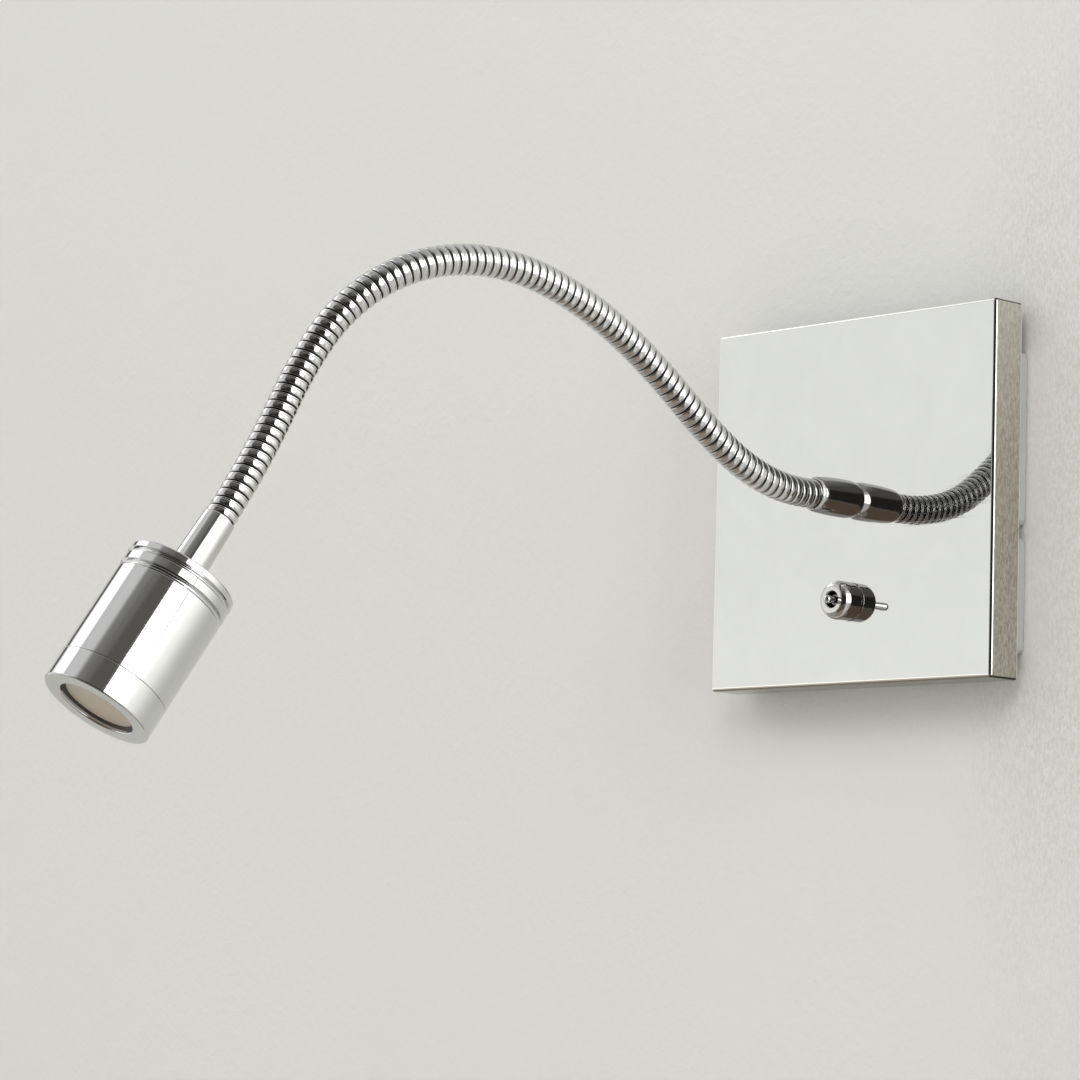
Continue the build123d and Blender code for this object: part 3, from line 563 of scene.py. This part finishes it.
# ---------------------------------------------------------------- cover: a folded and polished shallow box
def cover_mesh():
    half, edge = 50.0, 1.0
    k, rows = 8, 8
    corners = [(1, 1, 0), (-1, 1, 90), (-1, -1, 180), (1, -1, 270)]
    verts, faces, normals = [], [], []

    def ring(rho, y):
        ids = []
        for sx, sz, a0 in corners:
            for j in range(k + 1):
                a = math.radians(a0 + 90.0 * j / k)
                ids.append(len(verts))
                verts.append((sx * (half - edge) + rho * math.cos(a), y, sz * (half - edge) + rho * math.sin(a)))
        return ids

    def ring_normals(tilt):
        out = []
        for _, _, a0 in corners:
            for j in range(k + 1):
                a = math.radians(a0 + 90.0 * j / k)
                out.append((math.cos(a) * math.cos(tilt), -math.sin(tilt), math.sin(a) * math.cos(tilt)))
        return out

    levels = [(ring(edge, REAR_Y), ring_normals(0.0)), (ring(edge, FRONT_Y + edge), ring_normals(0.0))]
    for r in range(1, rows):
        t = math.pi / 2 * r / rows
        levels.append((ring(edge * math.cos(t), FRONT_Y + edge * (1 - math.sin(t))), ring_normals(t)))
    tips = []
    for sx, sz, _ in corners:
        tips.append(len(verts))
        verts.append((sx * (half - edge), FRONT_Y, sz * (half - edge)))
    levels.append(([tips[c] for c in range(4) for _ in range(k + 1)], ring_normals(math.pi / 2)))
    m = 4 * (k + 1)
    for (lo, nlo), (hi, nhi) in zip(levels, levels[1:]):
        for j in range(m):
            j1 = (j + 1) % m
            idx = [lo[j], lo[j1], hi[j1], hi[j]]
            nor = [nlo[j], nlo[j1], nhi[j1], nhi[j]]
            keep = [q for q in range(4) if idx[q] != idx[q - 1]]
            if len(keep) >= 3:
                faces.append(tuple(idx[q] for q in keep))
                normals += [nor[q] for q in keep]

    def hole(x, z, r, y, n=64):
        ids = []
        for j in range(n):
            a = 2 * math.pi * j / n
            ids.append(len(verts))
            verts.append((x + r * math.cos(a), y, z + r * math.sin(a)))
        return ids

    def flat(loops, normal):
        flatv = [[Vector((verts[q][0], verts[q][2], 0)) for q in loop] for loop in loops]
        ids = [q for loop in loops for q in loop]
        for tri in tessellate_polygon(flatv):
            f = [ids[q] for q in tri]
            a, b, c = (Vector(verts[q]) for q in f)
            if (b - a).cross(c - a).dot(Vector(normal)) < 0:
                f = f[::-1]
            faces.append(tuple(f))
            normals.extend([normal] * 3)

    holes = [(ARM_X, ARM_Z, 4.1), (SWITCH_X, SWITCH_Z, 3.1)]
    front = [hole(x, z, r, FRONT_Y) for x, z, r in holes]
    inner = [hole(x, z, r, INNER_Y) for x, z, r in holes]
    flat([tips] + front, (0, -1, 0))
    ih = 48.8
    sq = []
    for y in (INNER_Y, REAR_Y):
        ids = []
        for sx, sz, _ in corners:
            ids.append(len(verts))
            verts.append((sx * ih, y, sz * ih))
        sq.append(ids)
    flat([sq[0]] + inner, (0, 1, 0))
    flat([levels[0][0], sq[1]], (0, 1, 0))
    for j in range(4):
        j1 = (j + 1) % 4
        a = Vector(verts[sq[0][j]])
        b = Vector(verts[sq[0][j1]])
        nor = -((a + b) / 2 - Vector((0, INNER_Y, 0))).normalized()
        f = [sq[0][j], sq[0][j1], sq[1][j1], sq[1][j]]
        if (Vector(verts[f[1]]) - Vector(verts[f[0]])).cross(Vector(verts[f[2]]) - Vector(verts[f[0]])).dot(nor) < 0:
            f = f[::-1]
        faces.append(tuple(f))
        normals += [tuple(nor)] * 4
    for (x, z, r), fr, inn in zip(holes, front, inner):
        n = len(fr)
        for j in range(n):
            j1 = (j + 1) % n
            a0, a1 = 2 * math.pi * j / n, 2 * math.pi * j1 / n
            n0, n1 = (-math.cos(a0), 0, -math.sin(a0)), (-math.cos(a1), 0, -math.sin(a1))
            f, nn = [fr[j], fr[j1], inn[j1], inn[j]], [n0, n1, n1, n0]
            if (Vector(verts[f[1]]) - Vector(verts[f[0]])).cross(Vector(verts[f[2]]) - Vector(verts[f[0]])).dot(Vector(n0)) < 0:
                f, nn = f[::-1], nn[::-1]
            faces.append(tuple(f))
            normals += nn
    return make("cover", verts, faces, M["cover"], normals)


def place(ob, body, slot, *replaced):
    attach(ob, body)
    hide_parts(*replaced)
    return ob


place(cover_mesh(), "wall_unit", "chrome", "cover_plate")

# ---------------------------------------------------------------- collar
OUT = ((0, -1, 0), (1, 0, 0))
L = COLLAR_L


def smooth_line(points, n):
    """Points on a smooth curve through (r, z) points given in order of z."""
    zs = np.array([p[1] for p in points], float)
    rs = np.array([p[0] for p in points], float)
    g = np.gradient(rs, zs)
    out = []
    for z in np.linspace(zs[0], zs[-1], n):
        i = min(len(zs) - 2, int(np.searchsorted(zs, z, side="right")) - 1)
        h = zs[i + 1] - zs[i]
        t = (z - zs[i]) / h
        r = ((2 * t ** 3 - 3 * t ** 2 + 1) * rs[i] + (t ** 3 - 2 * t ** 2 + t) * h * g[i]
             + (-2 * t ** 3 + 3 * t ** 2) * rs[i + 1] + (t ** 3 - t ** 2) * h * g[i + 1])
        out.append((float(r), float(z), "s"))
    return out


barrel = smooth_line([(4.52, 0.05), (4.75, 0.6), (4.945, 1.2), (5.08, 1.8), (5.175, 2.5), (5.228, 3.4), (5.25, 4.8),
                      (5.245, 6.2), (5.20, 8.4), (5.10, 10.8), (4.95, 13.0), (4.83, 14.2), (4.70, 15.0), (4.53, 15.65),
                      (4.32, 16.15)], 56)
thread = []
for q in range(9):
    z = -5.0 + q * 0.5
    thread += [(3.72, z + 0.12, 0.04), (4.0, z + 0.37, 0.05)]
collar = lathe("collar", [(2.1, -5.4), (3.6, -5.4)] + thread + [(3.8, -0.4), (3.8, 0.0), (4.50, 0.0, 0.02)]
               + barrel + [(4.26, L, 0.05), (4.10, L, 0.03), (4.045, L - 0.06, 0.03),
                           (4.045, L - 2.6), (2.1, L - 2.6)],
               frame_at((ARM_X, FRONT_Y, ARM_Z), *OUT), M["collar"])
place(collar, "wall_unit", "chrome_dark", "arm_collar")

# ---------------------------------------------------------------- toggle switch, what shows of it
turn = math.radians(-10.1)
SW_X = (math.cos(turn), 0, math.sin(turn))
SW = frame_at((SWITCH_X, FRONT_Y, SWITCH_Z), (0, -1, 0), SW_X)
dress = lathe("dress_nut", [(3.05, 0.0), (4.85, 0.0, 0.08), (5.3, 0.45, 0.15), (5.3, 3.5, "s")]
              + [(3.15 + 2.15 * math.cos(math.radians(a)), NUT_L - 2.8 + 2.8 * math.sin(math.radians(a)), "s")
                 for a in range(0, 86, 5)]
              + [(3.15, NUT_L, 0.12), (2.42, NUT_L, 0.12), (2.2, NUT_L - 0.26, 0.1), (2.2, NUT_L - 1.3), (3.05, NUT_L - 1.3)],
              SW, M["collar"], 112)
place(dress, "wall_unit", "chrome_dark", "switch_dress_nut")

BALL, LEVER_L, TIP_R = 1.75, 7.55, 1.08
lever_line = ([(0, -2.4), (0.75, -2.4, 0.1), (0.75, -1.58, 0)]
              + [(r, z, "s") for r, z in curve3((0.80, -math.sqrt(BALL ** 2 - 0.64)), (BALL, 0.0),
                                                (0.98, math.sqrt(BALL ** 2 - 0.98 ** 2)), 22)]
              + [(0.95, 1.62, 0.06), (0.95, 2.6, "s")]
              + [(0.95 + (TIP_R - 0.95) * k / 6, 2.6 + (LEVER_L - 2.6) * k / 6, "s") for k in range(1, 6)]
              + [(TIP_R * math.cos(math.radians(a)), LEVER_L + 0.94 * TIP_R * math.sin(math.radians(a)), "s") for a in range(0, 86, 6)]
              + [(0, LEVER_L + 0.94 * TIP_R)])
PIVOT = frame_at((SWITCH_X, FRONT_Y - (NUT_L - 2.2), SWITCH_Z), (0, -1, 0), SW_X)
lever = lathe("lever", lever_line, PIVOT @ Matrix.Rotation(math.radians(23.1), 4, "Y"), M["lever"], 72)
place(lever, "lever", "chrome", "toggle_lever")

# ---------------------------------------------------------------- head: turned pieces on the arm's end
HEAD = frame_at(END[0], END[1], END[3] * -1)
neck = lathe("neck", [(4.035, 1.3), (4.035, 0.10, 0.03), (4.06, 0.0, 0.03), (4.12, 0.0, 0.05), (4.195, 0.22, 0.10),
                      (4.65, Z0, 0.0), (3.0, Z0), (3.0, Z0 + 6.3), (1.9, Z0 + 6.3), (1.9, 5.0), (2.95, 5.0), (2.95, 1.3)],
             HEAD, M["head"], 112)
place(neck, "head", "chrome", "neck_ferrule")
cap = lathe("cap", [(3.1, Z0), (HEAD_R, Z0, 0.45), (HEAD_R, Z0 + 1.7, 0.16), (GROOVE_R + 0.22, Z0 + 1.98, 0.3),
                    (GROOVE_R, Z0 + 2.4, 0.5), (GROOVE_R + 0.22, Z0 + 2.82, 0.3), (HEAD_R, Z0 + 3.1, 0.16), (HEAD_R, Z0 + 5.2, 0.16),
                    (GROOVE_R + 0.22, Z0 + 5.50, 0.3), (GROOVE_R, Z0 + 6.0, 0.6), (GROOVE_R + 0.2, Z0 + 6.55, 0.3),
                    (GROOVE_R + 0.35, Z0 + 6.8), (12.3, Z0 + 6.8), (12.3, Z0 + 11.0),
                    (11.0, Z0 + 11.0), (11.0, Z0 + 3.2), (3.1, Z0 + 3.2)], HEAD, M["head"], 160)
place(cap, "head", "chrome", "rear_cap")
body = lathe("barrel", [(12.35, Z0 + 6.8), (HEAD_R, Z0 + 6.8, 0.18), (HEAD_R, Z0 + BEZ - 0.02, 0.14), (12.6, Z0 + BEZ),
                        (12.6, Z0 + 26.0), (12.1, Z0 + 26.0), (12.1, Z0 + 24.0), (12.35, Z0 + 24.0)],
             HEAD, M["head"], 160)
place(body, "head", "chrome", "head_barrel")
FR = Z0 + HEAD_L
bezel = lathe("front_ring", [(12.5, Z0 + BEZ - 4.5), (12.5, Z0 + BEZ), (HEAD_R, Z0 + BEZ + 0.02, 0.14), (HEAD_R, FR, 0.40),
                             (OPEN_R, FR, 0.38), (OPEN_R, FR - 0.95), (LENS_R + 0.15, FR - 0.95),
                             (LENS_R + 0.15, Z0 + BEZ - 4.5)], HEAD, M["head"], 160)
place(bezel, "head", "chrome", "bezel")
seal = lathe("seal", [(OPEN_R - 0.75, FR - 1.5), (LENS_R + 0.1, FR - 1.5), (LENS_R + 0.1, FR - 0.95),
                      (OPEN_R - 0.35, FR - 0.95, 0.2)], HEAD, M["seal"], 128)
place(seal, "head", "seal", "lens_seal")
glass = lathe("diffuser", [(0, FR - 3.0), (LENS_R, FR - 3.0, 0.1), (LENS_R, FR - 1.5, 0.1), (0, FR - 1.5)],
              HEAD, M["lens"], 128)
place(glass, "head", "lens", "lens")

# ---------------------------------------------------------------- finish of the solid model's own pieces
SLOT = {s["node"]: s["material_slot"] for s in frame["record"]["subparts"]}
KEEP = {"bracket": "bracket", "chrome": "head", "chrome_dark": "collar", "gooseneck": "hose"}
for name, ob in nodes.items():
    slot = SLOT[name]
    mat = M[KEEP.get(slot, slot)]
    ob.data.materials.clear()
    ob.data.materials.append(mat)

# ---------------------------------------------------------------- camera at the photograph's place
RX = (0.6939702715063126, 0.7194163037111221, 0.02907652352123819)
RY = (-0.06667046909308566, 0.10441777631443142, -0.9922963148880768)
RZ = (-0.71691025297199, 0.686685597594835, 0.1204266550206457)
cam = bpy.data.objects.new("camera", bpy.data.cameras.new("camera"))
scene.collection.objects.link(cam)
m = Matrix((RX, tuple(-c for c in RY), tuple(-c for c in RZ))).transposed().to_4x4()
m.translation = Vector((678.1256, -778.8146, -136.9058)) * MM
cam.matrix_world = m
cam.data.sensor_width = 36.0
cam.data.lens = 3809.0414 / 1080 * 36.0
cam.data.clip_start, cam.data.clip_end = 0.02, 60.0
scene.camera = cam


# ---------------------------------------------------------------- stage: wall, floor and the room's light
def sheet_mesh(name, x0, x1, z0, z1, y, mat, horizontal=False):
    if horizontal:
        v = [(x0, z0, y), (x1, z0, y), (x1, z1, y), (x0, z1, y)]
    else:
        v = [(x0, y, z0), (x1, y, z0), (x1, y, z1), (x0, y, z1)]
    ob = make(name, v, [(0, 1, 2, 3)], mat, scale=1.0)
    return ob


def wall_paint():
    """Rolled wall paint with a faint orange peel, with painted shade and mottle to the right of the lamp and a painted
    pale strip of light against the cover's right side. Seen from behind it is clear, so the back of the lamp shows.
    """
    t = Tree("wall_paint")
    peel = t.noise(330.0, 3.0, 0.55, distort=0.4)
    broad = t.noise(3.0, 2.0, 0.5)
    at = t.node("ShaderNodeSeparateXYZ", {0: t.node("ShaderNodeNewGeometry").outputs["Position"]})
    x, z = at.outputs[0], at.outputs[2]
    level = t.math("ABSOLUTE", z)
    # Painted shade and painted raking light: to the right of the lamp, most around its height, the wall turns darker
    # and mottled.
    painted_shade_reach = t.math("MULTIPLY", t.ramp(x, 0.02, 0.055, 0.10, 1.0, True), t.ramp(level, 0.055, 0.14, 1.0, 0.4, True))
    mottle_noise = t.ramp(t.noise(1.0, 4.0, 0.62, vec=t.scaled(1500.0, 1500.0, 560.0), distort=0.8), 0.38, 0.62, 0.0, 1.0)
    d = t.node("ShaderNodeBsdfPrincipled")
    flat = t.mix(broad, (0.757, 0.764, 0.752), (0.777, 0.784, 0.772))
    painted_shade_mottle = t.mix(mottle_noise, (0.655, 0.652, 0.620), (0.765, 0.775, 0.758))
    # Painted light: a pale strip on the wall right against the cover's right side, where its shadow falls.
    painted_light_strip = t.math("MULTIPLY", t.ramp(x, 0.051, 0.064, 1.0, 0.0, True), t.ramp(z, -0.054, -0.044, 0.0, 1.0, True))
    painted_light_strip = t.math("MULTIPLY", painted_light_strip, t.ramp(x, 0.047, 0.049, 0.0, 1.0))
    painted_light_strip = t.math("MULTIPLY", painted_light_strip, t.ramp(z, 0.036, 0.050, 1.0, 0.0, True))
    tone = t.mix(painted_shade_reach, flat, painted_shade_mottle)
    t.link(t.mix(t.math("MULTIPLY", painted_light_strip, 0.5), tone, (0.93, 0.925, 0.90)), d.inputs["Base Color"])
    d.inputs["Roughness"].default_value = 0.62
    d.inputs["Specular IOR Level"].default_value = 0.3
    t.link(t.bump(peel, 0.0006, 0.35), d.inputs["Normal"])
    clear = t.node("ShaderNodeBsdfTransparent")
    back = t.node("ShaderNodeNewGeometry").outputs["Backfacing"]
    mx = t.node("ShaderNodeMixShader", {0: back, 1: d.outputs[0], 2: clear.outputs[0]})
    t.link(mx.outputs[0], t.out.inputs[0])
    return t.mat


def floor_paint():
    t = Tree("pale_floor")
    t.principled(Base_Color=t.mix(t.noise(4.0, 3.0, 0.5), (0.72, 0.69, 0.635), (0.75, 0.72, 0.665)),
                 Roughness=0.7, Normal=t.bump(t.noise(240.0, 3.0, 0.5), 0.0004, 0.3))
    return t.mat


def wall_with_box_hole(mat):
    """The wall, open over the wall box behind the bracket, so that light reaches the back of the lamp."""
    y, outer, inner = 0.0005, (-3.4, 3.4, -0.62, 2.6), (-0.038, 0.038, -0.036, 0.036)
    v = [(x, y, z) for x0, x1, z0, z1 in (outer, inner) for x, z in ((x0, z0), (x1, z0), (x1, z1), (x0, z1))]
    ob = make("wall", v, [(k, (k + 1) % 4, 4 + (k + 1) % 4, 4 + k) for k in range(4)], mat, scale=1.0)
    return ob


wall = wall_with_box_hole(wall_paint())
floor = sheet_mesh("floor", -3.4, 3.4, -4.0, 2.5, -0.62, floor_paint(), True)
floor.visible_glossy = False


def glow(name, colour):
    t = Tree(name)
    e = t.node("ShaderNodeEmission", {"Color": tuple(colour) + (1.0,), "Strength": 1.0})
    t.link(e.outputs[0], t.out.inputs[0])
    return t.mat


def room():
    """The unlit room as the metal sees it: a soft sphere of light whose tone depends on direction.
    Angles are degrees: across, 0 straight out of the wall and + to the right; up, above the horizon."""
    t = Tree("room")
    pos = t.node("ShaderNodeNewGeometry").outputs["Position"]
    off = t.node("ShaderNodeVectorMath", {0: pos, 1: (0.0, -0.15, -0.02)}, operation="SUBTRACT").outputs[0]
    unit = t.node("ShaderNodeVectorMath", {0: off}, operation="NORMALIZE").outputs[0]
    s = t.node("ShaderNodeSeparateXYZ", {0: unit})
    az = t.math("MULTIPLY", t.math("ARCTAN2", s.outputs[0], t.math("MULTIPLY", s.outputs[1], -1.0)), 57.29578)
    el = t.math("MULTIPLY", t.math("ARCSINE", s.outputs[2]), 57.29578)

    def band(v, lo, hi, soft):
        a = t.ramp(v, lo - soft, lo + soft, 0.0, 1.0, True)
        b = t.ramp(v, hi - soft, hi + soft, 1.0, 0.0, True)
        return t.math("MULTIPLY", a, b)

    colour = (0.50, 0.495, 0.485)
    for c, a, e, soft in ROOM:
        f = t.math("MULTIPLY", band(az, a[0], a[1], soft[0]), band(el, e[0], e[1], soft[1]))
        colour = t.mix(f, colour, c)
    e = t.node("ShaderNodeEmission", {"Color": colour, "Strength": 1.0})
    t.link(e.outputs[0], t.out.inputs[0])
    return t.mat


# colour, across from..to, up from..to, softness of the edges
ROOM = [
    ((0.95, 0.95, 0.94), (-200, -48), (-25, 62), (9, 8)),       # bright left side of the room
    ((0.78, 0.78, 0.77), (-48, -7), (14, 58), (6, 6)),
    ((1.10, 1.105, 1.05), (-64, -31), (-14, 22), (3, 6)),
    ((1.26, 1.265, 1.205), (-64, -31), (-14, 3), (3, 5)),
    ((0.31, 0.31, 0.30), (-4, 16), (34, 58), (6, 6)),
    ((0.47, 0.47, 0.46), (-200, 200), (62, 100), (1, 6)),       # ceiling
    ((0.16, 0.118, 0.082), (-26, 60), (-56, -20), (6, 8)),      # bed and floor
    ((0.42, 0.40, 0.37), (-200, -26), (-56, -24), (6, 4)),
    ((0.80, 0.79, 0.76), (66, 200), (-75, -16), (5, 4)),
    ((0.35, 0.292, 0.228), (-200, 66), (-100, -56), (6, 3)),
    ((0.24, 0.237, 0.225), (14, 66), (44, 60), (6, 5)),         # dark furniture
    ((0.13, 0.125, 0.115), (-14, 66), (20, 46), (6, 6)),
    ((0.03, 0.029, 0.026), (-12, 64), (-22, 24), (4, 5)),
    ((2.3, 2.3, 2.3), (-90, -53), (29, 44), (3, 3)),            # left window
    ((0.85, 0.85, 0.84), (64.5, 200), (30, 47), (0.8, 4)),
    ((3.6, 3.6, 3.65), (64.5, 200), (-14, 32), (0.8, 3)),       # right window
]
bm = bmesh.new()
bmesh.ops.create_uvsphere(bm, u_segments=64, v_segments=32, radius=6.0)
me = bpy.data.meshes.new("room")
bm.to_mesh(me)
bm.free()
me.materials.append(room())
dome = bpy.data.objects.new("room", me)
scene.collection.objects.link(dome)
dome.visible_camera = False

def wall_glow():
    """Window light that brightens the wall to the right of the lamp, as the metal mirrors it."""
    t = Tree("wall_glow")
    s = t.node("ShaderNodeSeparateXYZ", {0: t.node("ShaderNodeNewGeometry").outputs["Position"]})
    f = t.math("MULTIPLY", t.ramp(s.outputs[0], 0.03, 0.37, 0.0, 1.0, True),
               t.math("MULTIPLY", t.ramp(s.outputs[2], -0.30, 0.09, 0.0, 1.0, True),
                      t.ramp(s.outputs[2], 0.20, 0.50, 1.0, 0.0, True)))
    e = t.node("ShaderNodeEmission", {"Color": (1.0, 1.0, 1.0, 1.0), "Strength": t.math("MULTIPLY", f, 1.05)})
    mx = t.node("ShaderNodeAddShader", {0: e.outputs[0], 1: t.node("ShaderNodeBsdfTransparent").outputs[0]})
    t.link(mx.outputs[0], t.out.inputs[0])
    return t.mat


window = sheet_mesh("window_glow", -0.04, 3.4, -0.36, 0.52, 0.0004, wall_glow())
window.visible_camera = False
window.visible_diffuse = False
window.visible_shadow = False

# A dark sheet on the wall left of the lamp that only reflections see: a painted dark reflection in the metal.
dark_sheet = sheet_mesh("dark_sheet_in_reflections", -3.3, -0.95, -0.2, 1.6, 0.0003,
                  plastic("painted_dark_reflection", (0.03, 0.028, 0.026), (0.05, 0.046, 0.04), 0.6))
dark_sheet.visible_camera = False
dark_sheet.visible_diffuse = False
dark_sheet.visible_shadow = False

key = bpy.data.lights.new("key", "AREA")
key.shape, key.size, key.energy = "DISK", 1.1, 13.0
key.color = (1.0, 0.985, 0.955)
lamp = bpy.data.objects.new("key", key)
scene.collection.objects.link(lamp)
lamp.location = (0.95, -1.5, 1.25)
lamp.rotation_euler = (Vector((0, -0.05, 0)) - lamp.location).to_track_quat("-Z", "Y").to_euler()
lamp.visible_glossy = False
lamp.visible_camera = False

fill = bpy.data.lights.new("fill", "AREA")
fill.shape, fill.size, fill.energy = "SQUARE", 2.6, 11.0
fill.color = (1.0, 0.995, 0.985)
soft = bpy.data.objects.new("fill", fill)
scene.collection.objects.link(soft)
soft.location = (-0.4, -2.4, 0.9)
soft.rotation_euler = (Vector((0, -0.05, 0)) - soft.location).to_track_quat("-Z", "Y").to_euler()
soft.visible_glossy = False
soft.visible_camera = False

world = bpy.data.worlds.new("studio")
scene.world = world
world.use_nodes = True
world.node_tree.nodes["Background"].inputs[0].default_value = (0.80, 0.795, 0.78, 1.0)
world.node_tree.nodes["Background"].inputs[1].default_value = 1.0
scene.view_settings.view_transform = "Standard"
scene.view_settings.look = "None"
